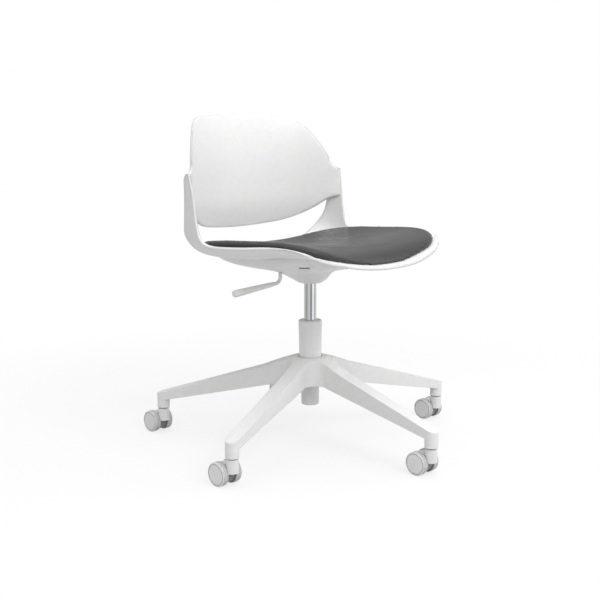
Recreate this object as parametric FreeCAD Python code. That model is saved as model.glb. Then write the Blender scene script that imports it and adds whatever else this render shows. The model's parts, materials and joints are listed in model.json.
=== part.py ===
import FreeCAD, Part
import os
from math import atan, cos, pi, radians, sin, sqrt

os.makedirs("parts", exist_ok=True)
V = FreeCAD.Vector

# Millimetres. Origin on the floor under the column, +Z up, the sitter faces -Y, +X is the sitter's left.

# Base and casters
STEM_CIRCLE = 350.0      # radius of the circle through the caster stems
ARM_COUNT = 5
ARM_HALF_HUB = 17.0      # half width of an arm beside the hub
ARM_HALF_END = 14.5      # half width at the socket, also the socket radius
HUB_FILLET = 29.0        # plan radius between neighbouring arms
HUB_TOP = 197.0
HUB_BOTTOM = 137.0
ARM_WALL = 3.5
SOCKET_BOTTOM = 61.2
HUB_GAP = 2.0            # open ring round the stand tube in the hub's top
HUB_GAP_DEPTH = 6.0
SLEEVE_R = 7.5
SLEEVE_TOP = 90.0
STEM_R = 5.5
STEM_TOP = 86.0
WHEEL_R = 25.0
WHEEL_TRAIL = 23.0       # axle behind the stem
WHEEL_INNER = 9.8        # from the caster's middle to a wheel's inner face
WHEEL_OUTER = 24.8
HOOD_R = 13.0
HOOD_TOP = 58.6
HOOD_BOTTOM = 29.5       # the hood ends here and the core shows below it
AXLE_R = 3.0
RUN = 0.06               # radial running clearance

# Column
TUBE_R = 26.8
TUBE_TAPER = 1.5         # radius lost from the tube's top down to the hub
HUB_TAPER = 1.6          # radius lost inside the hub
TUBE_TOP = 281.0
TUBE_BOTTOM = 84.6
FOOT_R = 20.6
FOOT_RECESS = 8.0        # the tube's floor lies this far above its lower rim
FOOT_T = 3.0
TUBE_WALL = 2.0
CYLINDER_R = 14.0
CYLINDER_BOTTOM = 185.0
CYLINDER_TOP = 398.0
CYLINDER_WALL = 1.5
TAPER_BOTTOM = 371.0
TAPER_LOSS = 0.7         # radius lost along the taper
ROD_R = 5.0
SPIGOT_R = 4.5
PISTON_Z = 258.0
RACE_T = 2.5
CAGE_T = 4.0

# Seat mechanism
PLATE_BOTTOM = 421.0
PLATE_T = 3.0
PLATE_X, PLATE_Y = 190.0, 170.0
BOLT_X, BOLT_Y = 72.0, 62.0
BOLT_R = 3.0
SOCKET_R = 19.0
PIVOT_X, PIVOT_Z = -40.0, 408.0
LEVER_R = 4.0
LEVER_DROP_X = -94.0     # where the lever rod turns down through the cover
LEVER_LOW_Z = 376.0
LEVER_END = (-229.0, 366.0)
SCREW_X, SCREW_Y = 104.0, 100.0
COVER_SHIFT = 20.0       # the cover's pan lies this far behind the column
COVER_RIM = 455.0        # the cover's wall is trimmed to the shell below this
COVER_GAP = 0.5
COVER_WALL = 1.8
SCREW_SEAT = 414.0

# Seat shell
SHELL_T = 6.0
WALL_TOP = 630.0
WALL_FOOT = 480.0        # above this the uprights lean outward
WALL_LEAN = 9.8          # by this much at WALL_TOP
RIM_LOW, RIM_HIGH = 462.6, 472.5
SHOULDER_Z = 612.5       # top of the uprights
SHELL_SIDE = 236.5       # half width of the seat in plan
RIM_SLOPE = 0.8          # drop of the rim's edge per millimetre outward
# Bowl sections: y, floor height in the middle, floor rise per x squared, corner radius, outer half width
BOWL = [
    (-270, 427.5, 0.00050, 60, 236),
    (-247, 428.5, 0.00053, 58, 236),
    (-224, 431.5, 0.00060, 55, 236),
    (-195, 438.5, 0.00057, 48, 236),
    (-160, 444.5, 0.00040, 40, 236),
    (-105, 446.0, 0.00024, 30, 236),
    (-30, 439.0, 0.00018, 26, 236),
    (40, 435.0, 0.00018, 26, 236),
    (90, 434.0, 0.00018, 34, 236),
    (125, 434.5, 0.00018, 42, 234),
    (155, 436.0, 0.00020, 50, 228.5),
    (178, 438.0, 0.00022, 56, 219.5),
    (200, 441.0, 0.00025, 60, 205),
]
# Upright edges: distance below SHOULDER_Z, y of the front edge, y of the rear edge
UPRIGHT = [
    (0, 130.5, 143),
    (7, 129.2, 149.5),
    (27.5, 125.3, 154),
    (57.5, 121, 158.5),
    (87.5, 117, 163),
    (112.5, 112, 170),
]
BACK_Y = 228.0           # front of the backrest in the middle
BACK_DEPTH = 102.0       # how far the backrest wraps forward at BACK_HALF
BACK_HALF = 235.0
BACK_POWER = 2.5
BACK_EDGE = 231.0        # half width of the backrest sheet
BACK_T = 6.5
SHOULDER_ROOT = 206.0    # where the corner to the uprights leaves the backrest's face
BACK_TOP = 740.5
ROLL_START = 610.0       # above this the backrest rolls rearward
ROLL = 0.0010
TUCK_START = 546.0       # below this its lower edge curls rearward
TUCK = 0.0036
WINDOW_Z = 476.0         # lower edge of the backrest in the middle

# Seat pad
PAD_LIFT = 0.4
# Pad sections: y, half width, edge height, crest height, crest inset, top height in the middle
PAD = [
    (-228.5, 36, 433.0, 437.0, 6, 435.5),
    (-223, 84, 437.0, 442.5, 8, 439.0),
    (-214, 142, 447.0, 456.0, 11, 447.0),
    (-200, 184, 458.5, 470.0, 13, 456.5),
    (-175, 210, 467.0, 480.5, 14, 464.5),
    (-130, 223.5, 472.0, 485.0, 15, 466.5),
    (-60, 226, 469.0, 482.0, 15, 461.5),
    (20, 226, 465.0, 477.0, 15, 456.0),
    (75, 225, 463.0, 472.5, 14, 453.0),
    (110, 217, 460.0, 468.5, 13, 452.0),
    (138, 190, 453.5, 463.0, 11, 450.0),
    (152, 150, 447.5, 456.0, 9, 448.5),
]


def save(name, shape):
    shape.exportStep("parts/" + name + ".step")


def line(a, b):
    return Part.makeLine(a, b)


def arc(a, b, c):
    return Part.Arc(a, b, c).toShape()


def ring(inner, outer, low, high):
    tube = Part.makeCylinder(outer, high - low, V(0, 0, low))
    if inner == 0:
        return tube
    return tube.cut(Part.makeCylinder(inner, high - low, V(0, 0, low)))


def turned(points):
    """A solid of revolution about Z from (radius, height) corners."""
    corners = [V(r, 0, z) for r, z in points]
    face = Part.Face(Part.makePolygon(corners + corners[:1]))
    return face.revolve(V(0, 0, 0), V(0, 0, 1), 360)


def cross_rod(radius, half, at):
    """A cylinder along X, centred on a point."""
    return Part.makeCylinder(radius, 2 * half, at - V(half, 0, 0), V(1, 0, 0))


def prism(edges, way):
    return Part.Face(Part.Wire(Part.__sortEdges__(edges))).extrude(way)


def both_sides(shape):
    return [shape, shape.mirror(V(0, 0, 0), V(1, 0, 0))]


def group(shapes):
    return Part.makeCompound(shapes)


def between(rows, key):
    """A row of values at a key, on straight lines between the rows of a table."""
    for a, b in zip(rows, rows[1:]):
        if a[0] <= key <= b[0]:
            share = (key - a[0]) / (b[0] - a[0])
            return [p + (q - p) * share for p, q in zip(a, b)]
    return rows[-1]


def arm_angle(index):
    return -90.0 + 360.0 / ARM_COUNT * index


def stem_place(index):
    a = radians(arm_angle(index))
    return V(STEM_CIRCLE * cos(a), STEM_CIRCLE * sin(a), 0)


# Base


def arm_half(r):
    """Half width of an arm at a distance from the column."""
    share = (r - fillet_foot()) / (STEM_CIRCLE - fillet_foot())
    return ARM_HALF_HUB + (ARM_HALF_END - ARM_HALF_HUB) * share


def fillet_centre():
    return (HUB_FILLET + ARM_HALF_HUB) / sin(pi / ARM_COUNT)


def fillet_foot():
    return fillet_centre() * cos(pi / ARM_COUNT)


def star_plan(z):
    """Plan outline of the base: arms with round ends and fillets between them."""
    edges = []
    foot, nearest = fillet_foot(), fillet_centre() - HUB_FILLET
    turn = 2 * pi / ARM_COUNT
    for i in range(ARM_COUNT):
        a = radians(arm_angle(i))

        def place(along, across, a=a):
            return V(along * cos(a) - across * sin(a), along * sin(a) + across * cos(a), z)

        def next_place(along, across, a=a + turn):
            return V(along * cos(a) - across * sin(a), along * sin(a) + across * cos(a), z)

        edges.append(line(place(foot, -ARM_HALF_HUB), place(STEM_CIRCLE, -ARM_HALF_END)))
        tip = place(STEM_CIRCLE + ARM_HALF_END, 0)
        edges.append(arc(place(STEM_CIRCLE, -ARM_HALF_END), tip, place(STEM_CIRCLE, ARM_HALF_END)))
        edges.append(line(place(STEM_CIRCLE, ARM_HALF_END), place(foot, ARM_HALF_HUB)))
        middle = V(nearest * cos(a + turn / 2), nearest * sin(a + turn / 2), z)
        edges.append(arc(place(foot, ARM_HALF_HUB), middle, next_place(foot, -ARM_HALF_HUB)))
    return edges


def star_band(lower):
    """The turned band that gives the arms their sloping top and underside; lower sinks the top."""
    far = STEM_CIRCLE + ARM_HALF_END + 5
    top = HUB_TOP - lower
    start, crest = V(0, 0, top), V(38, 0, top)
    knee, end = V(110, 0, top - 26), V(far, 0, top - 103.5)
    edges = [line(start, crest), arc(crest, V(75, 0, top - 12), knee), line(knee, end)]
    if lower == 0:
        under = [V(far, 0, 76), V(93, 0, 130), V(60, 0, HUB_BOTTOM), V(0, 0, HUB_BOTTOM)]
        edges.append(line(end, under[0]))
        edges.append(line(under[0], under[1]))
        edges.append(line(under[1], under[2]))
        edges.append(line(under[2], under[3]))
        edges.append(line(under[3], start))
    else:
        edges.append(line(end, V(far, 0, 40)))
        edges.append(line(V(far, 0, 40), V(0, 0, 40)))
        edges.append(line(V(0, 0, 40), start))
    return Part.Face(Part.Wire(edges)).revolve(V(0, 0, 0), V(0, 0, 1), 360)


def arm_pockets():
    """Hollows under the arms, left apart by cross ribs."""
    ribs = [70, 125, 180, 235, 290, 332]
    pockets = []
    for i in range(ARM_COUNT):
        for near, far in zip(ribs, ribs[1:]):
            near, far = near + ARM_WALL / 2, far - ARM_WALL / 2
            a, b = arm_half(near) - ARM_WALL, arm_half(far) - ARM_WALL
            corners = [V(near, -a, 40), V(far, -b, 40), V(far, b, 40), V(near, a, 40)]
            pocket = Part.Face(Part.makePolygon(corners + corners[:1])).extrude(V(0, 0, 160))
            pocket.rotate(V(0, 0, 0), V(0, 0, 1), arm_angle(i))
            pockets.append(pocket)
    return group(pockets).common(star_band(ARM_WALL))


def tube_outside():
    """The tapered outside of the stand tube where the hub grips it."""
    low = HUB_BOTTOM - 5
    return turned([(0, low), (hub_r(low), low), (hub_r(HUB_TOP), HUB_TOP), (0, HUB_TOP)])


def hub_r(z):
    """Radius of the taper between hub and stand tube."""
    return TUBE_R - TUBE_TAPER - HUB_TAPER * (HUB_TOP - z) / (HUB_TOP - HUB_BOTTOM)


def star_base():
    body = prism(star_plan(40), V(0, 0, 180)).common(star_band(0))
    body = body.cut(arm_pockets())
    deep = SLEEVE_TOP - SOCKET_BOTTOM
    feet = [stem_place(i) + V(0, 0, SOCKET_BOTTOM) for i in range(ARM_COUNT)]
    body = body.fuse([Part.makeCylinder(ARM_HALF_END, deep, p) for p in feet])
    body = body.cut([Part.makeCylinder(SLEEVE_R, deep, p) for p in feet])
    gap = ring(0, hub_r(HUB_TOP) + HUB_GAP, HUB_TOP - HUB_GAP_DEPTH, HUB_TOP + 5)
    return body.cut([tube_outside(), gap]).removeSplitter()


def stem_sleeves():
    """Cups in the sockets that the caster stems turn in."""
    cup = ring(STEM_R + RUN, SLEEVE_R, SOCKET_BOTTOM + 1, STEM_TOP)
    cup = cup.fuse(ring(0, SLEEVE_R, STEM_TOP, SLEEVE_TOP)).removeSplitter()
    return group([cup.translated(stem_place(i)) for i in range(ARM_COUNT)])


# Casters, built about a stem on the Z axis


def axle_centre():
    return V(0, WHEEL_TRAIL, WHEEL_R)


def between_wheels():
    return WHEEL_INNER - 0.8


def wheel_room():
    """The space that both wheels turn in, kept clear of hood and core."""
    rooms = []
    for side in (-1, 1):
        middle = side * (between_wheels() + 0.3 + HOOD_R)
        rooms.append(cross_rod(WHEEL_R + 0.8, HOOD_R, axle_centre() + V(middle, 0, 0)))
    return rooms


def caster_hood():
    """Housing round the stem that reaches back over the wheels' gap."""
    post = ring(0, HOOD_R, HOOD_BOTTOM, HOOD_TOP)
    post = post.makeFillet(2.0, [e for e in post.Edges if e.BoundBox.ZMin > HOOD_TOP - 0.1])
    fender = cross_rod(WHEEL_R - 2, between_wheels(), axle_centre())
    fender = fender.cut(Part.makeBox(60, 60, 60, V(-30, WHEEL_TRAIL - 30, HOOD_BOTTOM - 60)))
    body = post.fuse(fender).cut(wheel_room())
    return body.cut(ring(0, STEM_R, HOOD_TOP - 22, HOOD_TOP + 5)).removeSplitter()


def caster_core():
    """Dark carrier of the axle below the hood."""
    disc = cross_rod(WHEEL_R - 3.5, between_wheels(), axle_centre())
    keep = Part.makeBox(60, 80, 60, V(-30, WHEEL_TRAIL - 40, HOOD_BOTTOM - 60))
    return disc.common(keep).cut(cross_rod(AXLE_R, 30, axle_centre()))


def caster_stem():
    pin = ring(0, STEM_R, HOOD_TOP - 22, STEM_TOP)
    groove = ring(STEM_R - 0.8, STEM_R + 1, STEM_TOP - 10, STEM_TOP - 7)
    return pin.cut(groove)


def caster_axle():
    return cross_rod(AXLE_R, WHEEL_OUTER - 2.7, axle_centre())


def caster_wheel(side):
    """One wheel turned about its own axle: rounded tread, ringed face, blind bore."""
    wide = WHEEL_OUTER - WHEEL_INNER
    blank = ring(0, WHEEL_R, 0, wide)
    blank = blank.makeFillet(2.5, [e for e in blank.Edges if abs(e.Length - 2 * pi * WHEEL_R) < 1])
    blank = blank.cut(ring(20.6, 22.2, wide - 1.2, wide))
    blank = blank.cut(ring(8.5, 19.0, 0, 2.0))
    blank = blank.cut(ring(0, AXLE_R + RUN, 0, wide - 2.2))
    blank.rotate(V(0, 0, 0), V(0, 1, 0), 90)
    blank.translate(axle_centre() + V(WHEEL_INNER, 0, 0))
    return blank if side > 0 else blank.mirror(V(0, 0, 0), V(1, 0, 0))


# Column


def stand_tube():
    """Tapered tube with a rounded rim and foot, closed by a floor that the rod passes through."""
    low, floor = HUB_BOTTOM - 5, foot_floor()
    bore, skirt, inner = SPIGOT_R + 0.1, FOOT_R - 4.5, FOOT_R - TUBE_WALL
    outside = [(bore, floor), (skirt, floor), (skirt, TUBE_BOTTOM), (FOOT_R - 3, TUBE_BOTTOM),
               (FOOT_R - 0.9, TUBE_BOTTOM + 0.9), (FOOT_R, TUBE_BOTTOM + 3), (FOOT_R, low - 3),
               (hub_r(low), low), (hub_r(HUB_TOP), HUB_TOP), (TUBE_R, TUBE_TOP - 3),
               (TUBE_R - 0.9, TUBE_TOP - 0.9), (TUBE_R - 3, TUBE_TOP)]
    inside = [(bush_r(), TUBE_TOP), (bush_r(), HUB_TOP - 10), (inner, low - 10),
              (inner, floor + FOOT_T), (bore, floor + FOOT_T)]
    return turned(outside + inside)


def foot_floor():
    """Underside of the floor that closes the stand tube."""
    return TUBE_BOTTOM + FOOT_RECESS


def bush_r():
    return TUBE_R - 3 - TUBE_WALL


def guide_bush():
    body = ring(CYLINDER_R + RUN, bush_r(), TUBE_TOP - 76, TUBE_TOP - 0.5)
    return body.cut(ring(CYLINDER_R + 1.5, CYLINDER_R + 3.5, TUBE_TOP - 76, TUBE_TOP - 20))


def bearing_seat():
    """Top of the tube's floor, where the column's bearing stands."""
    return foot_floor() + FOOT_T


def race(inner, above):
    low = bearing_seat() + above
    return ring(inner, 14.0, low, low + RACE_T)


def bearing_cage():
    low = bearing_seat() + RACE_T
    return ring(SPIGOT_R + 0.4, 13.0, low, low + CAGE_T)


def bump_stop():
    low = bearing_seat() + 2 * RACE_T + CAGE_T
    return ring(ROD_R, 11.0, low, low + 12)


def piston_rod():
    floor = foot_floor()
    shoulder = bearing_seat() + 2 * RACE_T + CAGE_T
    spigot = ring(0, SPIGOT_R, floor - 6, shoulder)
    spigot = spigot.cut(ring(SPIGOT_R - 0.8, SPIGOT_R + 1, floor - 2, floor - 0.2))
    return spigot.fuse(ring(0, ROD_R, shoulder, PISTON_Z + 16)).removeSplitter()


def rod_clip():
    floor = foot_floor()
    clip = ring(SPIGOT_R - 0.8, 8.5, floor - 1.95, floor - 0.25)
    return clip.cut(Part.makeBox(20, 5, 10, V(0, -2.5, floor - 6)))


def cylinder_r(z):
    """Outside radius of the gas cylinder at a height."""
    if z <= TAPER_BOTTOM:
        return CYLINDER_R
    return CYLINDER_R - TAPER_LOSS * (z - TAPER_BOTTOM) / (CYLINDER_TOP - TAPER_BOTTOM)


def gas_cylinder():
    inner = CYLINDER_R - CYLINDER_WALL
    pin = 3.0 + RUN
    return turned([(inner, CYLINDER_BOTTOM), (CYLINDER_R, CYLINDER_BOTTOM), (CYLINDER_R, TAPER_BOTTOM),
                   (cylinder_r(CYLINDER_TOP), CYLINDER_TOP), (pin, CYLINDER_TOP), (pin, CYLINDER_TOP - 13),
                   (inner, CYLINDER_TOP - 13)])


def cylinder_gland():
    return ring(ROD_R + RUN, CYLINDER_R - CYLINDER_WALL, CYLINDER_BOTTOM, CYLINDER_BOTTOM + 14)


def piston():
    return ring(ROD_R, CYLINDER_R - CYLINDER_WALL - RUN, PISTON_Z, PISTON_Z + 14)


def release_pin():
    pin = ring(0, 3.0, CYLINDER_TOP - 14, PIVOT_Z - LEVER_R - 0.3)
    return pin.makeFillet(2.4, [e for e in pin.Edges if e.BoundBox.ZMin > CYLINDER_TOP])


# Seat mechanism


def bolt_places():
    return [V(sx * BOLT_X, sy * BOLT_Y, 0) for sx in (-1, 1) for sy in (-1, 1)]


def screw_places():
    return [V(sx * SCREW_X, COVER_SHIFT + sy * SCREW_Y, 0) for sx in (-1, 1) for sy in (-1, 1)]


def mechanism_plate():
    flat = Part.makeBox(PLATE_X, PLATE_Y, PLATE_T, V(-PLATE_X / 2, -PLATE_Y / 2, PLATE_BOTTOM))
    flat = flat.makeFillet(12.0, [e for e in flat.Edges if e.BoundBox.ZLength > PLATE_T - 0.1])
    lips = []
    for side in (-1, 1):
        y = side * (PLATE_Y / 2 - 20) - PLATE_T / 2
        lips.append(Part.makeBox(PLATE_X - 60, PLATE_T, 9, V(-PLATE_X / 2 + 30, y, PLATE_BOTTOM - 9)))
    body = flat.fuse(lips)
    holes = [Part.makeCylinder(BOLT_R + 0.3, 20, p + V(0, 0, PLATE_BOTTOM - 5)) for p in bolt_places()]
    return body.cut(holes).removeSplitter()


def taper_socket():
    seat_top = CYLINDER_TOP - 2
    body = turned([(CYLINDER_R, TAPER_BOTTOM), (SOCKET_R, TAPER_BOTTOM), (SOCKET_R, PLATE_BOTTOM),
                   (CYLINDER_R + 1, PLATE_BOTTOM), (CYLINDER_R + 1, seat_top), (cylinder_r(seat_top), seat_top)])
    slot = Part.makeBox(30, 14, 40, V(-30, -7, CYLINDER_TOP - 1))
    return body.cut(slot)


def lever_bracket():
    cheeks = [Part.makeBox(24, 2.5, PLATE_BOTTOM - 398, V(PIVOT_X - 12, y, 398)) for y in (-10, 7.5)]
    web = Part.makeBox(24, 20, 2.5, V(PIVOT_X - 12, -10, PLATE_BOTTOM - 2.5))
    hole = Part.makeCylinder(2.5, 40, V(PIVOT_X, -20, PIVOT_Z), V(0, 1, 0))
    return cheeks[0].fuse([cheeks[1], web]).cut(hole).removeSplitter()


def lever_pivot_pin():
    return Part.makeCylinder(2.5, 23, V(PIVOT_X, -11.5, PIVOT_Z), V(0, 1, 0))


def lever_lean():
    """Downward angle of the lever's outer arm."""
    return atan((LEVER_LOW_Z - LEVER_END[1]) / (LEVER_DROP_X - LEVER_END[0]))


def lever_path():
    """Centre line of the lever: over the pin, out, down through the cover and out to the handle."""
    top, bend, x = PIVOT_Z, 13.0, LEVER_DROP_X
    k = bend * (1 - sqrt(0.5))
    lean = lever_lean()
    low = LEVER_LOW_Z
    a, b = V(4, 0, top), V(x + bend, 0, top)
    c, d = V(x + k, 0, top - k), V(x, 0, top - bend)
    turn = pi / 2 - lean
    e = V(x, 0, low + bend)
    centre = V(x - bend, 0, low + bend)
    f = centre + V(bend * cos(turn / 2), 0, -bend * sin(turn / 2))
    g = centre + V(bend * cos(turn), 0, -bend * sin(turn))
    end = g + V(-cos(lean), 0, -sin(lean)) * lever_reach(g)
    return [line(a, b), arc(b, c, d), line(d, e), arc(e, f, g), line(g, end)], g, end


def lever_reach(start):
    return (start.x - LEVER_END[0]) / cos(lever_lean()) - 4


def lever_rod():
    edges, start, end = lever_path()
    circle = Part.Wire(Part.makeCircle(LEVER_R, V(4, 0, PIVOT_Z), V(1, 0, 0)))
    rod = Part.Wire(edges).makePipeShell([circle], True, True)
    eye = Part.makeCylinder(6.5, 14, V(PIVOT_X, -7, PIVOT_Z), V(0, 1, 0))
    bore = Part.makeCylinder(2.5 + RUN, 40, V(PIVOT_X, -20, PIVOT_Z), V(0, 1, 0))
    return rod.fuse(eye).cut(bore).removeSplitter()


def lever_handle():
    """Tapered grip on the outer end of the lever rod."""
    edges, start, end = lever_path()
    way = (end - start).normalize()
    first = start + way * 8
    length = (end - first).Length
    profile = [(0, 0), (4.7, 0), (5.0, 1.5), (8.0, length - 1), (7.6, length + 2.2), (6.0, length + 4), (0, length + 4)]
    grip = turned(profile).cut(ring(0, LEVER_R, -1, length))
    grip.rotate(V(0, 0, 0), V(0, 1, 0), -90 - lever_lean() * 180 / pi)
    grip.translate(first)
    return grip


def cover_section(z, half, square, shift):
    """A closed plan curve between a circle (square 2) and a rounded square."""
    points = []
    for i in range(32):
        a = 2 * pi * i / 32
        r = half / (abs(cos(a)) ** square + abs(sin(a)) ** square) ** (1 / square)
        points.append(V(r * cos(a), shift + r * sin(a), z))
    curve = Part.BSplineCurve()
    curve.interpolate(Points=points, PeriodicFlag=True)
    return Part.Wire(curve.toShape())


def cover_form(in_by, up_by):
    """Neck flaring into a shallow rounded-square pan; squareness and rearward shift grow upward."""
    levels = [(367.5, 26.5, 2, 0), (373.5, 36, 2, 0.08), (383, 50, 2, 0.4), (389.5, 61, 2.05, 0.75),
              (394.5, 73, 2.2, 0.98), (400.5, 96, 2.7, 1.15), (407, 126, 3.6, 1), (419, 153, 4.5, 1)]
    sections = [cover_section(z + up_by, half - in_by, square, shift * COVER_SHIFT)
                for z, half, square, shift in levels]
    sections.append(cover_section(COVER_RIM, 163 - in_by, 5, COVER_SHIFT))
    return Part.makeLoft(sections, True, False)


def underseat_cover():
    body = cover_form(0, 0).cut(cover_form(COVER_WALL, COVER_WALL))
    body = body.cut(Part.makeCylinder(24.0, 30, V(0, 0, 350)))
    inside = cover_form(0.6, 0.6)
    posts = [Part.makeCylinder(6.5, boss_top() - 370, p + V(0, 0, 370)) for p in screw_places()]
    body = body.fuse([p.common(inside) for p in posts])
    for p in screw_places():
        body = body.cut(Part.makeCylinder(2.3, 80, p + V(0, 0, 370)))
        body = body.cut(Part.makeCylinder(5.0, SCREW_SEAT - 370, p + V(0, 0, 370)))
    slot = Part.makeBox(26, 14, 40, V(LEVER_DROP_X - 11, -7, 380))
    grip = Part.makeBox(22, 26, 2.4, V(-11, -206, 422.8))
    grip.rotate(V(0, 0, 0), V(0, 0, 1), -45)
    grip.translate(V(0, COVER_SHIFT, 0))
    return body.cut([slot, grip, bowl_space(-SHELL_T - COVER_GAP)]).removeSplitter()


def boss_top():
    """Height where the cover's screw posts meet the shell's bosses."""
    return 426.0


def cover_screws():
    head = ring(0, 4.2, SCREW_SEAT - 3, SCREW_SEAT)
    shank = ring(0, 2.0, SCREW_SEAT, 435.0)
    screw = head.fuse(shank).cut(Part.makeBox(1.2, 6, 1.5, V(-0.6, -3, SCREW_SEAT - 3)))
    return group([screw.translated(p) for p in screw_places()])


def plate_bolts():
    head = Part.Face(Part.makePolygon([V(5.8 * cos(pi * i / 3), 5.8 * sin(pi * i / 3), PLATE_BOTTOM - 4)
                                       for i in range(7)])).extrude(V(0, 0, 4))
    bolt = head.fuse(ring(0, BOLT_R, PLATE_BOTTOM, 433.0)).removeSplitter()
    return group([bolt.translated(p) for p in bolt_places()])


def shell_inserts():
    nut = ring(BOLT_R, 4.6, PLATE_BOTTOM + PLATE_T, 433.0)
    return group([nut.translated(p) for p in bolt_places()])


# Seat shell


def wall_lean(z):
    """How far an upright leans outward at a height."""
    share = max(0.0, z - WALL_FOOT) / (WALL_TOP - WALL_FOOT)
    return WALL_LEAN * share ** 1.5


def half_bowl(floor, rise, radius, half):
    """Right half of a bowl section: dished floor, corner arc, upright wall."""
    x = half - radius
    for _ in range(20):
        x = half - radius + radius * sin(atan(2 * rise * x))
    lean = atan(2 * rise * x)
    cx, cz = x - radius * sin(lean), floor + rise * x * x + radius * cos(lean)
    points = [(x * i / 5, floor + rise * (x * i / 5) ** 2) for i in range(6)]
    for i in range(1, 5):
        a = lean + (pi / 2 - lean) * i / 4
        points.append((cx + radius * sin(a), cz - radius * cos(a)))
    for i in range(1, 4):
        z = cz + (WALL_TOP - cz) * i / 3
        points.append((half + wall_lean(z), z))
    return points


def full_bowl(floor, rise, radius, half):
    right = half_bowl(floor, rise, radius, half)
    return [(-x, z) for x, z in reversed(right[1:])] + right


def bowl_knots():
    """One spacing for every section, from a middling section's own lengths."""
    points = full_bowl(437.0, 0.0002, 38, 234)
    knots = [0.0]
    for a, b in zip(points, points[1:]):
        knots.append(knots[-1] + sqrt((a[0] - b[0]) ** 2 + (a[1] - b[1]) ** 2))
    return [k / knots[-1] for k in knots]


def through(points, knots):
    curve = Part.BSplineCurve()
    curve.interpolate(Points=points, Parameters=knots)
    return curve.toShape()


def smooth(points):
    curve = Part.BSplineCurve()
    curve.interpolate(Points=points)
    return curve.toShape()


def bowl():
    knots = bowl_knots()
    wires = []
    for y, floor, rise, radius, half in BOWL:
        inner = [V(x, y, z) for x, z in full_bowl(floor, rise, radius, half - SHELL_T)]
        outer = [V(x, y, z) for x, z in full_bowl(floor - SHELL_T, rise, radius + SHELL_T, half)]
        wires.append(Part.Wire([through(inner, knots), line(inner[-1], outer[-1]),
                                through(outer, knots), line(outer[0], inner[0])]))
    return Part.makeLoft(wires, True, False)


def bowl_space(offset):
    """All the room above the shell's upper face, kept a distance clear of it."""
    knots = bowl_knots()
    inset = SHELL_T + offset
    wires = []
    for y, floor, rise, radius, half in BOWL:
        lower = [V(x, y, z) for x, z in full_bowl(floor + offset, rise, radius - offset, half - inset)]
        wires.append(Part.Wire([through(lower, knots), line(lower[-1], lower[0])]))
    return Part.makeLoft(wires, True, False)


def plan_outline():
    """Front edge and front corners of the seat, seen from above."""
    right = [(60, -244.5), (120, -234.5), (160, -224), (190, -211.5), (210, -199), (226, -180), (SHELL_SIDE, -140)]
    left = [(-x, y) for x, y in reversed(right)]
    points = [V(x, y, 380) for x, y in left + [(0, -247)] + right]
    first, last = points[0], points[-1]
    far = V(0, 400, 0)
    edges = [smooth(points), line(last, last + far), line(last + far, first + far), line(first + far, first)]
    return prism(edges, V(0, 0, WALL_TOP - 370))


def rim_points(x):
    """The rim from front to rear and on up the front of an upright, seen from the side."""
    rows = [(-280, RIM_HIGH - 48), (-215, RIM_HIGH - 14), (-190, RIM_HIGH - 5.0), (-160, RIM_HIGH + 0.6),
            (-130, RIM_HIGH + 2.0), (-50, RIM_HIGH - 2.8), (10, RIM_LOW + 2.7), (50, RIM_LOW + 0.4),
            (75, RIM_LOW + 0.8), (94, RIM_LOW + 6.5), (105, RIM_LOW + 18)]
    rows += [(front_y, SHOULDER_Z - drop) for drop, front_y, rear_y in reversed(UPRIGHT)]
    return [V(x, y, z) for y, z in rows]


def side_outline():
    """Rim and uprights seen from the side."""
    side, low = -260.0, 390.0
    rim = rim_points(side)
    rear = [V(side, rear_y, SHOULDER_Z - drop) for drop, front_y, rear_y in UPRIGHT]
    rear += [V(side, y, z) for y, z in ((184, 472), (190, 450), (193, 430), (193, low))]
    foot = V(side, rim[0].y, low)
    edges = [smooth(rim), line(rim[-1], rear[0]), smooth(rear), line(rear[-1], foot), line(foot, rim[0])]
    return prism(edges, V(-2 * side, 0, 0))


def rim_air():
    """Air over the rim that sinks outward from the wall's inner face, so that the rim's edge slopes."""
    rim = rim_points(SHELL_SIDE - SHELL_T - 1.7)
    corner = V(rim[0].x, rim[0].y, rim[-1].z)
    reach = 3 * SHELL_T
    return prism([smooth(rim), line(rim[-1], corner), line(corner, rim[0])], V(reach, 0, -reach * RIM_SLOPE))


def back_front(x, z):
    """Front face of the backrest: bowed in plan, rolling rearward near its top and its lower edge."""
    middle = BACK_Y + ROLL * max(0.0, z - ROLL_START) ** 2 + TUCK * max(0.0, TUCK_START - z) ** 2
    return middle - BACK_DEPTH * (abs(x) / BACK_HALF) ** BACK_POWER


def back_rear(x, z):
    """The point of the rear face straight behind a point of the front face."""
    slope = BACK_DEPTH * BACK_POWER / BACK_HALF * (abs(x) / BACK_HALF) ** (BACK_POWER - 1)
    length = sqrt(1 + slope * slope)
    out = slope if x > 0 else -slope
    return V(x + BACK_T * out / length, back_front(x, z) + BACK_T / length, z)


def back_wire(z):
    """Plan section of the backrest sheet at a height."""
    count = 18
    places = [BACK_EDGE * (2 * i / count - 1) for i in range(count + 1)]
    front = [V(x, back_front(x, z), z) for x in places]
    rear = [back_rear(x, z) for x in places]
    knots = [i / count for i in range(count + 1)]
    return Part.Wire([through(front, knots), line(front[-1], rear[-1]),
                      through(rear, knots), line(rear[0], front[0])])


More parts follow.
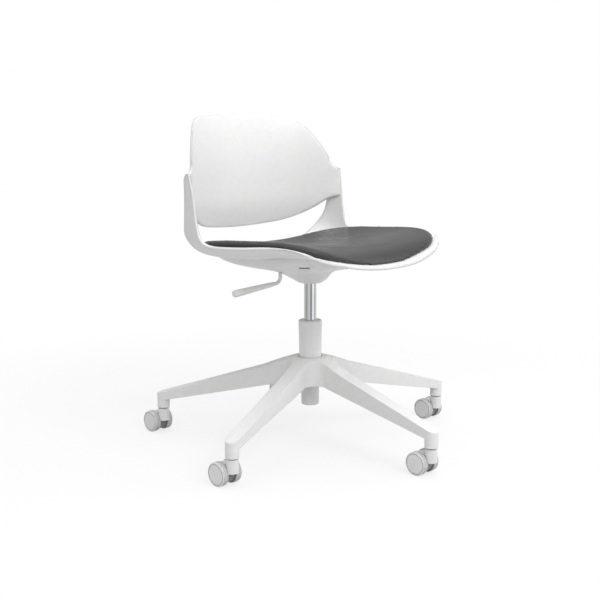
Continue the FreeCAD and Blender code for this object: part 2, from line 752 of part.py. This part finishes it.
def back_outline():
    """Backrest and shoulders seen from the front."""
    def p(x, z):
        return V(x, 60, z)
    top = BACK_TOP
    right = [line(p(0, 450), p(244, 450)), line(p(244, 450), p(244, SHOULDER_Z)),
             line(p(244, SHOULDER_Z), p(234, SHOULDER_Z)),
             arc(p(234, SHOULDER_Z), p(221.5, SHOULDER_Z + 8.5), p(214.5, SHOULDER_Z + 27.5)),
             arc(p(214.5, SHOULDER_Z + 27.5), p(201, 672), p(183, top - 37.5)),
             arc(p(183, top - 37.5), p(161, top - 15.5), p(120, top - 4.5)),
             arc(p(120, top - 4.5), p(60, top - 1.1), p(0, top))]
    edges = []
    for edge in right:
        edges += both_sides(edge)
    return prism(edges, V(0, 240, 0))


def window():
    """The opening between backrest, uprights and seat, seen from the front."""
    def p(x, z):
        return V(x, 60, z)
    low = WINDOW_Z
    right = [arc(p(0, low), p(55, low + 1.8), p(110, low + 7.2)),
             arc(p(110, low + 7.2), p(165, low + 25.5), p(206.5, low + 55.5)),
             arc(p(206.5, low + 55.5), p(220, low + 65.6), p(231, low + 70.6)),
             line(p(231, low + 70.6), p(250, low + 70.6)), line(p(250, low + 70.6), p(250, 445)),
             line(p(250, 445), p(0, 445))]
    edges = []
    for edge in right:
        edges += both_sides(edge)
    return prism(edges, V(0, 240, 0))


def shoulder_section(z):
    """Plan section of the corner that joins backrest and upright, on the sitter's left."""
    drop, front, rear = between(UPRIGHT, SHOULDER_Z - z)

    def skin(y):
        return between(BOWL, y)[4] + wall_lean(z)
    root = V(SHOULDER_ROOT, back_front(SHOULDER_ROOT, z) + 0.3, z)
    lip = V(skin(front) - SHELL_T + 0.8, front + 0.2, z)
    across = V(root.y - lip.y, lip.x - root.x, 0).normalize()
    hollow = (root + lip) * 0.5 + across * 1.2
    heel = V(skin(rear) - 1.2, rear - 1, z)
    tail = back_rear(SHOULDER_ROOT - 10, z) - V(0, 0.8, 0)
    toe = V(skin(front) - 1.2, front + 1.5, z)
    return Part.Wire([arc(root, hollow, lip), line(lip, toe), line(toe, heel), line(heel, tail), line(tail, root)])


def shoulder():
    heights = [SHOULDER_Z - row[0] for row in UPRIGHT[:-1]]
    return Part.makeLoft([shoulder_section(z) for z in heights], True, True)


def shell_boss(place, radius, low):
    """A post from a height up into the shell's floor."""
    return Part.makeCylinder(radius, floor_at(place.x, place.y) - 2 - low, place + V(0, 0, low))


def shell_bosses():
    """Posts under the seat for the mechanism bolts and the cover screws."""
    bolts = [shell_boss(p, 9, PLATE_BOTTOM + PLATE_T) for p in bolt_places()]
    screws = [shell_boss(p, 7, boss_top()) for p in screw_places()]
    return bolts + screws


def shell_holes():
    bolts = [Part.makeCylinder(4.6, 9.0, p + V(0, 0, PLATE_BOTTOM + PLATE_T)) for p in bolt_places()]
    screws = [Part.makeCylinder(2.0, 9.0, p + V(0, 0, boss_top())) for p in screw_places()]
    return bolts + screws


def seat_shell():
    seat = bowl().common(plan_outline()).common(side_outline()).cut(both_sides(rim_air()))
    levels = (465, 485, 505, 525, 546, 575, 610, 645, 680, 715, 750)
    back = Part.makeLoft([back_wire(z) for z in levels], True, False)
    back = back.common(back_outline()).cut(window())
    fill = [s.common(back_outline()).cut(window()) for s in both_sides(shoulder())]
    body = seat.fuse([back] + fill + shell_bosses())
    return body.cut(shell_holes() + clip_holes()).removeSplitter()


# Seat pad


def floor_at(x, y):
    """Height of the shell's upper face."""
    _, floor, rise, _, _ = between(BOWL, y)
    return floor + rise * x * x


def pad_section(y, half, edge, crest, inset, middle):
    """Closed cross section of the pad: drawn-in sides and a bolstered top over a deep blank."""
    low = floor_at(0, y) - 15
    top = [V(half - inset, y, crest), V(0, y, middle), V(inset - half, y, crest)]
    right = [line(V(half - 6, y, low), V(half, y, edge)),
             arc(V(half, y, edge), V(half - 2.5, y, edge + (crest - edge) * 0.72), top[0])]
    left = [e.mirror(V(0, 0, 0), V(1, 0, 0)) for e in right]
    bottom = line(V(half - 6, y, low), V(6 - half, y, low))
    return Part.Wire(Part.__sortEdges__([bottom, arc(*top)] + right + left))


def clip_places():
    return [V(sx * 120, y, 0) for sx in (-1, 1) for y in (-105, 0, 105)]


def clip_holes():
    return [Part.makeCylinder(4, 60, p + V(0, 0, 415)) for p in clip_places()]


def pad_clip(place):
    """Push-in clip: a disc in the pad's under face and a stem through the shell."""
    z = floor_at(place.x, place.y)
    stem = Part.makeCylinder(4, 14, place + V(0, 0, z - 11))
    barb = Part.makeCone(3.2, 5.0, 3.0, place + V(0, 0, z - 14))
    disc = Part.makeCylinder(11, 3, place + V(0, 0, z + 3))
    return stem.fuse([barb, disc]).removeSplitter()


def pad_clips():
    return group([pad_clip(p) for p in clip_places()])


def seat_pad():
    body = Part.makeLoft([pad_section(*row) for row in PAD], True, False).common(bowl_space(PAD_LIFT))
    return body.cut([pad_clip(p) for p in clip_places()])


def build():
    save("star_base", star_base())
    save("stem_sleeves", stem_sleeves())
    save("stand_tube", stand_tube())
    save("guide_bush", guide_bush())
    save("bearing_lower_race", race(SPIGOT_R + 0.1, 0))
    save("bearing_cage", bearing_cage())
    save("bearing_upper_race", race(SPIGOT_R, RACE_T + CAGE_T))
    save("bump_stop", bump_stop())
    save("piston_rod", piston_rod())
    save("rod_clip", rod_clip())
    save("piston", piston())
    save("gas_cylinder", gas_cylinder())
    save("cylinder_gland", cylinder_gland())
    save("release_pin", release_pin())
    save("taper_socket", taper_socket())
    save("mechanism_plate", mechanism_plate())
    save("lever_bracket", lever_bracket())
    save("lever_pivot_pin", lever_pivot_pin())
    save("lever_rod", lever_rod())
    save("lever_handle", lever_handle())
    save("underseat_cover", underseat_cover())
    save("cover_screws", cover_screws())
    save("plate_bolts", plate_bolts())
    save("shell_inserts", shell_inserts())
    save("seat_shell", seat_shell())
    save("seat_pad", seat_pad())
    save("pad_clips", pad_clips())
    pieces = {"caster_hood": caster_hood(), "caster_core": caster_core(),
              "caster_stem": caster_stem(), "caster_axle": caster_axle(),
              "caster_wheel_left": caster_wheel(1), "caster_wheel_right": caster_wheel(-1)}
    for i in range(ARM_COUNT):
        for name, shape in pieces.items():
            save("%s_%d" % (name, i + 1), shape.translated(stem_place(i)))


build()
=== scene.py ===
import json
import math

import bmesh
import bpy
import numpy as np
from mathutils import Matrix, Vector
from mathutils.bvhtree import BVHTree


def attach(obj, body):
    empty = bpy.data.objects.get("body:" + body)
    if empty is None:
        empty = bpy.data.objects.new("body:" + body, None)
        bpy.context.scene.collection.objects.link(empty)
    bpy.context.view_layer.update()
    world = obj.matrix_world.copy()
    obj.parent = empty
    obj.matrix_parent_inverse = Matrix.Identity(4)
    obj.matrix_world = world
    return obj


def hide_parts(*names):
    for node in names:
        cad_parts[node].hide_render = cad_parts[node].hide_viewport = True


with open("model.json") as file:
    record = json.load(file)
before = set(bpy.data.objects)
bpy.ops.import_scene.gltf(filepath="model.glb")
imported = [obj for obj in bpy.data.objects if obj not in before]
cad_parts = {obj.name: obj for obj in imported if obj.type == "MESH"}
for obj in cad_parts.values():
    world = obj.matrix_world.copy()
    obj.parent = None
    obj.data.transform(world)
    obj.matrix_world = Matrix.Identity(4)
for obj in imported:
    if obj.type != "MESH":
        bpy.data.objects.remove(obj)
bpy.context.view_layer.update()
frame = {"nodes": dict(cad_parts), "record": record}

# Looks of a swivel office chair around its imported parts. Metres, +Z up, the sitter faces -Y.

NODES = frame["nodes"]
SCENE = bpy.context.scene
FULL_TURN = 2.0 * math.pi

# Camera, at the photograph's angle
CAMERA_PLACE = (-1.56931, -1.53626, 0.70948)
CAMERA_WAY = (0.69658, 0.69658, -0.17193)
CAMERA_LENS = 59.07
CAMERA_SENSOR = 36.0

# Surrounding light and floor
AMBIENT = 0.58
FLOOR_HALF = 12.0
FLOOR_COLOUR = 0.86
FLOOR_BOUNCE = 0.54      # what the floor throws back up at the chair
FLOOR_SHADOW = 0.25      # share of the floor's brightness that a shadow can take
FLOOR_NEAR = 0.55        # out to here the shadow is kept
FLOOR_FAR = 1.5          # from here on the floor is plain white

# Lamps: name, place, the point it looks at, width, height and watts
LAMPS = (
    ("overhead", (0.1, 0.0, 2.6), (0.0, 0.0, 0.4), 2.4, 2.4, 25.0),
    ("front", (-0.1, -2.1, 2.3), (0.0, 0.0, 0.6), 1.4, 1.2, 36.0),
    ("side", (-2.4, -0.7, 0.9), (0.0, 0.0, 0.4), 1.4, 1.4, 7.0),
    ("right", (2.0, -1.8, 0.8), (0.0, 0.0, 0.2), 1.2, 1.4, 11.0),
)

# Ring of studio screens that shiny parts mirror
SCREEN_RADIUS = 1.25
SCREEN_FOOT = 0.002
SCREEN_TOP = 1.3
SCREEN_SIDES = 64
# Brightness of the screens, by share of a turn from +X towards +Y
SCREENS = (
    (0.00, 0.90), (0.05, 0.90), (0.12, 0.36), (0.20, 0.48), (0.25, 0.70), (0.34, 0.56),
    (0.41, 0.36), (0.47, 0.46), (0.52, 0.70), (0.58, 0.70), (0.62, 0.50), (0.67, 0.16),
    (0.71, 0.62), (0.77, 1.30), (0.82, 0.66), (0.90, 0.54), (1.00, 1.00),
)

# Finishes
WHITE = (0.81, 0.81, 0.805)
# Grey for corners: on dark plastic it lightens them as dust, on pale plastic it darkens them as
# painted shade
DUST_AND_SHADE = (0.40, 0.39, 0.38)
WHEEL_FACE = (0.80, 0.80, 0.80)
WHEEL_TREAD = (0.56, 0.56, 0.565)
# painted shade on the wheels' inner sides
WHEEL_INSIDE_SHADE = (0.26, 0.26, 0.265)
PLASTIC_SPECULAR = 0.42
PLASTIC_EDGE = 0.0015
SHELL_EDGE = 0.009
WHEEL_EDGE = 0.0012
PAINT_EDGE = 0.0010
GRAIN_HEIGHT = 0.0004
TEXTURE_RANGE = (0.3, 0.7)     # between these lie most values of a noise
EDGE_RANGE = (0.72, 0.98)      # likeness of the rounded and the plain normal, on an edge and off it
TREAD_RANGE = (0.45, 0.60)     # how far a wheel's tread and its faces look sideways
# the inner side found this way is painted in shade
INSIDE_RANGE = (0.60, 0.75)    # how far a wheel's inner side looks inwards

# Seat cushion
CUSHION_VOXEL = 0.0035
CUSHION_SNAPS = 3        # turns of evening out the mesh on the pad's own surface
CUSHION_ROUNDING = 45    # turns of smoothing that roll the cover over its edges
STEP_IN, STEP_OUT = 0.50, -0.52
CUSHION_SHRINK = 0.0010
CUSHION_RISE = 0.0008    # the furthest that the filling may push a point
CUSHION_FRAMES = 20
CUSHION_PRESSURE = 0.9
CUSHION_STRETCH = 30.0   # stiffness of the cover against stretching and squeezing
CUSHION_BENDING = 12.0
CROWN_SLOPE = 0.5        # the crown faces up more than this
HELD_SLOPE = 0.1         # what faces up less than this is held by the shell


def feed(tree, socket, value):
    """Joins a node's input to another node's output, or gives it a value."""
    if isinstance(value, bpy.types.NodeSocket):
        tree.links.new(value, socket)
    else:
        socket.default_value = value


def add_node(tree, kind, settings=None, **inputs):
    """A new shader node with its settings, and with its inputs by name."""
    node = tree.nodes.new("ShaderNode" + kind)
    for name, value in (settings or {}).items():
        setattr(node, name, value)
    for name, value in inputs.items():
        feed(tree, node.inputs[name.replace("_", " ")], value)
    return node


def calculate(tree, operation, *values, kind="Math"):
    """The result of one Math or VectorMath node."""
    node = add_node(tree, kind, {"operation": operation})
    for socket, value in zip(node.inputs, values):
        feed(tree, socket, value)
    return node.outputs["Value"]


def tint(colour, share):
    return tuple(channel * share for channel in colour)


# A colour moved towards the corner grey: dust on dark plastic, painted shade on pale plastic
def dust_and_shade_tone(colour, share):
    return tuple(channel + (dust - channel) * share for channel, dust in zip(colour, DUST_AND_SHADE))


class Shader:
    """A material under construction: its Principled shader, and helpers that add nodes to it."""

    def __init__(self, name, **settings):
        self.material = bpy.data.materials.new(name)
        self.material.use_nodes = True
        self.tree = self.material.node_tree
        self.surface = self.tree.nodes["Principled BSDF"]
        places = self.add("TexCoord")
        self.coords = places.outputs["Object"]
        self.facing = places.outputs["Normal"]
        self.normal = None
        self.edge_highlight = None
        for name, value in settings.items():
            self.surface.inputs[name.replace("_", " ")].default_value = value

    def add(self, kind, settings=None, **inputs):
        return add_node(self.tree, kind, settings, **inputs)

    def link(self, output, name):
        self.tree.links.new(output, self.surface.inputs[name])

    def stretched(self, scale):
        """Object coordinates stretched along an axis, for drawn or brushed marks."""
        return self.add("Mapping", Vector=self.coords, Scale=scale).outputs["Vector"]

    def noise(self, scale, detail=3.0, roughness=0.5, coords=None):
        node = self.add("TexNoise", Vector=coords or self.coords, Scale=scale, Detail=detail,
                        Roughness=roughness)
        return node.outputs["Fac"]

    def cells(self, scale):
        node = self.add("TexVoronoi", {"feature": "SMOOTH_F1"}, Vector=self.coords, Scale=scale,
                        Smoothness=0.6)
        return node.outputs["Distance"]

    def span(self, value, start, end, low=0.0, high=1.0):
        """A value taken from one range to another, and held at its ends."""
        node = self.add("MapRange", Value=value, From_Min=start, From_Max=end, To_Min=low, To_Max=high)
        return node.outputs["Result"]

    def spread(self, texture, low=0.0, high=1.0):
        """A texture's value moved into a range."""
        return self.span(texture, *TEXTURE_RANGE, low, high)

    def shade(self, factor, first, second):
        """A colour between two others, each plain or from a node."""
        node = self.add("Mix", {"data_type": "RGBA"}, Factor=factor)
        sockets = [socket for socket in node.inputs if socket.type == "RGBA"]
        for socket, colour in zip(sockets, (first, second)):
            feed(self.tree, socket, (*colour, 1.0) if isinstance(colour, tuple) else colour)
        return next(socket for socket in node.outputs if socket.type == "RGBA")

    def mottled(self, texture, colour, share):
        """A colour that runs over into a lighter or darker share of itself."""
        return self.shade(self.spread(texture), colour, tint(colour, share))

    def grain(self, texture, strength, height=GRAIN_HEIGHT):
        """Adds one layer of bump over those before it."""
        node = self.add("Bump", Height=texture, Strength=strength, Distance=height)
        if self.normal:
            self.tree.links.new(self.normal, node.inputs["Normal"])
        self.normal = node.outputs["Normal"]
        self.link(self.normal, "Normal")

    def soft_edges(self, radius):
        """Shades sharp edges as if they were rounded, and finds where they are, as the mask of a
        painted edge highlight.
        """
        self.normal = self.add("Bevel", {"samples": 6}, Radius=radius).outputs["Normal"]
        plain = self.add("NewGeometry").outputs["Normal"]
        likeness = calculate(self.tree, "DOT_PRODUCT", self.normal, plain, kind="VectorMath")
        # where the edges are: the mask for a painted highlight on them
        self.edge_highlight = self.span(likeness, *EDGE_RANGE, low=1.0, high=0.0)

    def crevices(self, reach):
        """1 in the open, falling towards 0 in corners and slots where shade falls; it masks the
        painted shade there.
        """
        return self.add("AmbientOcclusion", {"samples": 8}, Distance=reach).outputs["AO"]


def plastic(name, colour, roughness, edge=PLASTIC_EDGE):
    """Moulded plastic: fine tool grain, faint cloudiness, a painted highlight on the edges, and dust
    with painted shade in the corners.
    """
    look = Shader(name, Specular_IOR_Level=PLASTIC_SPECULAR)
    look.soft_edges(edge)
    clouds = look.mottled(look.noise(95.0, detail=5.0, roughness=0.6), colour, 0.95)
    # painted shade in corners and slots, partly dust
    dust_and_shade = look.shade(look.spread(look.crevices(0.010)), dust_and_shade_tone(colour, 0.25), clouds)
    # painted highlight: edges lighter
    look.link(look.shade(look.edge_highlight, dust_and_shade, tint(colour, 1.06)), "Base Color")
    gloss = look.spread(look.noise(26.0, detail=5.0), roughness - 0.05, roughness + 0.07)
    look.link(gloss, "Roughness")
    look.grain(look.noise(900.0, detail=2.0), strength=0.10)
    look.grain(look.noise(30.0, detail=2.0), strength=0.03, height=0.0015)
    return look.material


def wheel_plastic(name, inward):
    """Hard wheel: pale outer face, greyer scuffed tread, painted shade that darkens its inner side and
    its corners, and a painted highlight on its edges.

    inward is 1 where the inner side looks along +X, and -1 where it looks along -X.
    """
    look = Shader(name, Specular_IOR_Level=PLASTIC_SPECULAR)
    look.soft_edges(WHEEL_EDGE)
    sideways = look.add("SeparateXYZ", Vector=look.facing).outputs["X"]
    rolling = look.span(calculate(look.tree, "ABSOLUTE", sideways), *TREAD_RANGE, low=1.0, high=0.0)
    scuffs = look.mottled(look.noise(160.0, detail=5.0), WHEEL_TREAD, 0.88)
    clouds = look.mottled(look.noise(30.0), WHEEL_FACE, 0.96)
    colour = look.shade(rolling, clouds, scuffs)
    # painted shade in the wheel's corners and slots
    dust_and_shade = look.shade(look.spread(look.crevices(0.006)), tint(WHEEL_TREAD, 0.8), colour)
    # painted highlight: edges lighter
    edged = look.shade(look.edge_highlight, dust_and_shade, tint(WHEEL_FACE, 1.04))
    # painted shade: the side that looks inwards turns dark grey
    inner = look.span(sideways, *(slope * inward for slope in INSIDE_RANGE))
    look.link(look.shade(inner, edged, WHEEL_INSIDE_SHADE), "Base Color")
    look.link(look.spread(look.noise(45.0, detail=5.0), 0.40, 0.55), "Roughness")
    look.grain(look.noise(600.0, detail=2.0), strength=0.10)
    return look.material


def painted(name, colour):
    """Powder coat with a slight orange peel, and a painted highlight on its edges."""
    look = Shader(name, Specular_IOR_Level=0.5, Coat_Weight=0.15, Coat_Roughness=0.12)
    look.soft_edges(PAINT_EDGE)
    coated = look.mottled(look.noise(9.0), colour, 0.96)
    # painted highlight: edges lighter
    look.link(look.shade(look.edge_highlight, coated, tint(colour, 1.05)), "Base Color")
    look.link(look.spread(look.noise(40.0, detail=4.0), 0.28, 0.40), "Roughness")
    look.grain(look.noise(430.0, detail=1.0), strength=0.10, height=0.0005)
    return look.material


def metal(name, colour, smooth, rough, draw=(1.0, 1.0, 1.0), strength=0.05):
    """Bare metal with drawn lines, smudged gloss and a little tarnish."""
    look = Shader(name, Metallic=1.0)
    look.link(look.mottled(look.noise(18.0, detail=4.0), colour, 0.90), "Base Color")
    look.link(look.spread(look.noise(14.0, detail=5.0), smooth, rough), "Roughness")
    look.grain(look.noise(900.0, coords=look.stretched(draw)), strength, height=0.0002)
    return look.material


def rubber(name, colour):
    """Matt rubber, lighter in clouds."""
    look = Shader(name, Specular_IOR_Level=0.3)
    look.link(look.mottled(look.noise(60.0, detail=4.0), colour, 1.5), "Base Color")
    look.link(look.spread(look.noise(35.0), 0.65, 0.85), "Roughness")
    look.grain(look.noise(700.0), strength=0.2)
    return look.material


def leather(name, colour):
    """Fine-grained upholstery cover: pebbled grain and a mottled, uneven sheen."""
    look = Shader(name, Specular_IOR_Level=0.19)
    pebbles = look.cells(620.0)
    broad = look.mottled(look.noise(11.0, detail=4.0), colour, 1.25)
    look.link(look.shade(look.spread(pebbles, 0.0, 0.6), broad, tint(colour, 0.78)), "Base Color")
    look.link(look.spread(look.noise(20.0, detail=4.0), 0.25, 0.33), "Roughness")
    look.grain(pebbles, strength=0.16)
    look.grain(look.noise(160.0), strength=0.06, height=0.0005)
    return look.material


MATERIALS = {
    "white_plastic": plastic("white_plastic", WHITE, 0.40),
    "white_metal": painted("white_metal", (0.79, 0.79, 0.785)),
    "chrome": metal("chrome", (0.80, 0.81, 0.82), 0.02, 0.05, draw=(1.0, 1.0, 0.05), strength=0.01),
    "steel": metal("steel", (0.56, 0.57, 0.58), 0.28, 0.44, draw=(1.0, 0.1, 1.0)),
    "brass": metal("brass", (0.72, 0.56, 0.30), 0.25, 0.40),
    "dark_plastic": plastic("dark_plastic", (0.22, 0.22, 0.225), 0.50),
    "rubber": rubber("rubber", (0.035, 0.035, 0.036)),
    "grey_plastic": plastic("grey_plastic", (0.80, 0.80, 0.80), 0.42),
    "grey_tread": wheel_plastic("left_wheels", -1.0),
    "leather": leather("leather", (0.048, 0.048, 0.050)),
}
# The right wheels turn their inner side the other way
RIGHT_WHEELS = wheel_plastic("right_wheels", 1.0)
# The shell is the same plastic with fuller edges, and so a wider painted highlight along them
SHELL_PLASTIC = plastic("shell_plastic", WHITE, 0.40, SHELL_EDGE)


def finish_of(part):
    """A part's own finish: that of its slot, but for the shell and the right wheels."""
    if part["node"] == "seat_shell":
        return SHELL_PLASTIC
    if part["node"].startswith("caster_wheel_right"):
        return RIGHT_WHEELS
    return MATERIALS[part["material_slot"]]


def dress_nodes():
    for part in frame["record"]["subparts"]:
        data = NODES[part["node"]].data
        data.materials.clear()
        data.materials.append(finish_of(part))


def new_object(name, data):
    thing = bpy.data.objects.new(name, data)
    SCENE.collection.objects.link(thing)
    return thing


def apply_modifiers(thing):
    graph = bpy.context.evaluated_depsgraph_get()
    mesh = bpy.data.meshes.new_from_object(thing.evaluated_get(graph))
    thing.modifiers.clear()
    thing.data = mesh


def roll_edges(mesh):
    """Rounds a mesh's creases. Each step in is followed by a longer step out, to keep its size."""
    points = np.array([vert.co for vert in mesh.vertices])
    ends = np.array([edge.vertices for edge in mesh.edges])
    neighbours = np.bincount(ends.ravel())[:, None]
    for step in (STEP_IN, STEP_OUT) * CUSHION_ROUNDING:
        sums = np.zeros_like(points)
        np.add.at(sums, ends[:, 0], points[ends[:, 1]])
        np.add.at(sums, ends[:, 1], points[ends[:, 0]])
        points += step * (sums / neighbours - points)
    mesh.vertices.foreach_set("co", points.ravel())
    mesh.update()


def even_out(mesh, surface):
    """Evens out a mesh's points while they stay on a surface."""
    work = bmesh.new()
    work.from_mesh(mesh)
    for turn in range(CUSHION_SNAPS):
        bmesh.ops.smooth_vert(work, verts=work.verts, factor=0.5, use_axis_x=True, use_axis_y=True,
                              use_axis_z=True)
        for vert in work.verts:
            vert.co = surface.find_nearest(vert.co)[0]
    work.to_mesh(mesh)
    work.free()


def cushion_blank():
    """An even quad mesh of the pad, drawn in a little so that the filling can push it out again."""
    pad = NODES["seat_pad"].data
    corners = [vert.co for vert in pad.vertices]
    faces = [list(face.vertices) for face in pad.polygons]
    surface = BVHTree.FromPolygons(corners, faces)
    blank = new_object("seat_cushion", pad.copy())
    remesh = blank.modifiers.new("even", "REMESH")
    remesh.mode = "VOXEL"
    remesh.voxel_size = CUSHION_VOXEL
    apply_modifiers(blank)
    even_out(blank.data, surface)
    roll_edges(blank.data)
    crown = [vert for vert in blank.data.vertices if vert.normal.z > CROWN_SLOPE]
    moves = [vert.normal * -CUSHION_SHRINK for vert in crown]
    for vert, move in zip(crown, moves):
        vert.co += move
    return blank


def fill_cushion(cushion):
    """Swells the cover under pressure; its under face stays where the shell holds it."""
    held = cushion.vertex_groups.new(name="held")
    for vert in cushion.data.vertices:
        held.add([vert.index], 1.0 if vert.normal.z < HELD_SLOPE else 0.0, "REPLACE")
    start = [vert.co.copy() for vert in cushion.data.vertices]
    cloth = cushion.modifiers.new("filling", "CLOTH")
    cloth.settings.use_pressure = True
    cloth.settings.uniform_pressure_force = CUSHION_PRESSURE
    cloth.settings.tension_stiffness = CUSHION_STRETCH
    cloth.settings.compression_stiffness = CUSHION_STRETCH
    cloth.settings.bending_stiffness = CUSHION_BENDING
    cloth.settings.vertex_group_mass = "held"
    cloth.settings.effector_weights.gravity = 0.0
    cloth.point_cache.frame_start = 1
    cloth.point_cache.frame_end = CUSHION_FRAMES
    for step in range(1, CUSHION_FRAMES + 1):
        SCENE.frame_set(step)
    apply_modifiers(cushion)
    SCENE.frame_set(1)
    for vert, place in zip(cushion.data.vertices, start):
        move = vert.co - place
        if move.length > CUSHION_RISE:
            vert.co = place + move * (CUSHION_RISE / move.length)


def seat_cushion():
    cushion = cushion_blank()
    fill_cushion(cushion)
    cushion.data.materials.clear()
    cushion.data.materials.append(MATERIALS["leather"])
    cushion.data.shade_smooth()
    finer = cushion.modifiers.new("finer", "SUBSURF")
    finer.levels = 1
    finer.render_levels = 1
    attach(cushion, "seat")
    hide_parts("seat_pad")


def seen_rays(tree):
    """1 for rays that show the background: to the camera, in reflections and through glass."""
    path = add_node(tree, "LightPath")
    most = path.outputs["Is Camera Ray"]
    for name in ("Is Glossy Ray", "Is Transmission Ray"):
        most = calculate(tree, "MAXIMUM", most, path.outputs[name])
    return most


def studio_world():
    """White where it is seen, and dimmer as a light on the chair."""
    world = bpy.data.worlds.new("studio")
    SCENE.world = world
    world.use_nodes = True
    tree = world.node_tree
    level = add_node(tree, "Mix", Factor=seen_rays(tree), A=AMBIENT, B=1.0)
    background = tree.nodes["Background"]
    feed(tree, background.inputs["Color"], (1.0, 1.0, 1.0, 1.0))
    feed(tree, background.inputs["Strength"], level.outputs["Result"])


def bare_material(name):
    """A material without a shader, and its node tree."""
    material = bpy.data.materials.new(name)
    material.use_nodes = True
    tree = material.node_tree
    tree.nodes.remove(tree.nodes["Principled BSDF"])
    return material, tree


def set_surface(tree, shader):
    tree.links.new(shader, tree.nodes["Material Output"].inputs["Surface"])


def floor_material():
    """Pale floor that keeps the chair's shadow nearby and runs out to white."""
    material, tree = bare_material("floor")
    seen = seen_rays(tree)
    tone = add_node(tree, "MapRange", Value=seen, To_Min=FLOOR_BOUNCE, To_Max=FLOOR_COLOUR)
    plain = add_node(tree, "BsdfDiffuse", Color=tone.outputs["Result"])
    white = add_node(tree, "Emission")
    place = add_node(tree, "TexCoord").outputs["Object"]
    away = calculate(tree, "LENGTH", place, kind="VectorMath")
    fade = add_node(tree, "MapRange", {"interpolation_type": "SMOOTHSTEP"}, Value=away,
                    From_Min=FLOOR_NEAR, From_Max=FLOOR_FAR, To_Min=1.0 - FLOOR_SHADOW, To_Max=1.0)
    share = calculate(tree, "MULTIPLY", fade.outputs["Result"], seen)
    mix = add_node(tree, "MixShader")
    for socket, value in zip(mix.inputs, (share, plain.outputs["BSDF"], white.outputs["Emission"])):
        feed(tree, socket, value)
    set_surface(tree, mix.outputs["Shader"])
    return material


def studio_floor():
    corners = [(x * FLOOR_HALF, y * FLOOR_HALF, 0.0) for x, y in ((-1, -1), (1, -1), (1, 1), (-1, 1))]
    mesh = bpy.data.meshes.new("floor")
    mesh.from_pydata(corners, [], [(0, 1, 2, 3)])
    mesh.materials.append(floor_material())
    floor = new_object("floor", mesh)


def screen_material():
    """Light and dark studio screens, one after another round the turn."""
    material, tree = bare_material("screens")
    place = add_node(tree, "TexCoord").outputs["Object"]
    split = add_node(tree, "SeparateXYZ", Vector=place)
    angle = calculate(tree, "ARCTAN2", split.outputs["Y"], split.outputs["X"])
    turn = calculate(tree, "WRAP", angle, FULL_TURN, 0.0)
    share = add_node(tree, "MapRange", Value=turn, From_Max=FULL_TURN)
    ramp = add_node(tree, "ValToRGB", Fac=share.outputs["Result"])
    stops = ramp.color_ramp.elements
    for spot, _ in SCREENS[1:-1]:
        stops.new(spot)
    for stop, (_, level) in zip(stops, SCREENS):
        stop.color = (level, level, level, 1.0)
    glow = add_node(tree, "Emission", Color=ramp.outputs["Color"])
    set_surface(tree, glow.outputs["Emission"])
    return material


def studio_screens():
    """A ring of screens that only reflections show."""
    corners = []
    for height in (SCREEN_FOOT, SCREEN_TOP):
        for side in range(SCREEN_SIDES):
            angle = FULL_TURN * side / SCREEN_SIDES
            corners.append((SCREEN_RADIUS * math.cos(angle), SCREEN_RADIUS * math.sin(angle), height))
    faces = []
    for side in range(SCREEN_SIDES):
        after = (side + 1) % SCREEN_SIDES
        faces.append((side, after, SCREEN_SIDES + after, SCREEN_SIDES + side))
    mesh = bpy.data.meshes.new("screens")
    mesh.from_pydata(corners, [], faces)
    mesh.materials.append(screen_material())
    screens = new_object("screens", mesh)
    screens.visible_camera = False
    screens.visible_diffuse = False
    screens.visible_transmission = False
    screens.visible_volume_scatter = False
    screens.visible_shadow = False


def put(thing, place, way):
    """Places a lamp or camera so that it looks a given way."""
    thing.location = place
    thing.rotation_euler = Vector(way).to_track_quat("-Z", "Y").to_euler()


def studio_lamps():
    for name, place, aim, width, height, watts in LAMPS:
        data = bpy.data.lights.new(name, "AREA")
        data.shape = "RECTANGLE"
        data.size = width
        data.size_y = height
        data.energy = watts
        put(new_object(name, data), place, Vector(aim) - Vector(place))


def studio_camera():
    data = bpy.data.cameras.new("camera")
    data.lens = CAMERA_LENS
    data.sensor_width = CAMERA_SENSOR
    camera = new_object("camera", data)
    put(camera, CAMERA_PLACE, CAMERA_WAY)
    SCENE.camera = camera


SCENE.view_settings.view_transform = "Standard"
dress_nodes()
seat_cushion()
studio_world()
studio_floor()
studio_screens()
studio_lamps()
studio_camera()
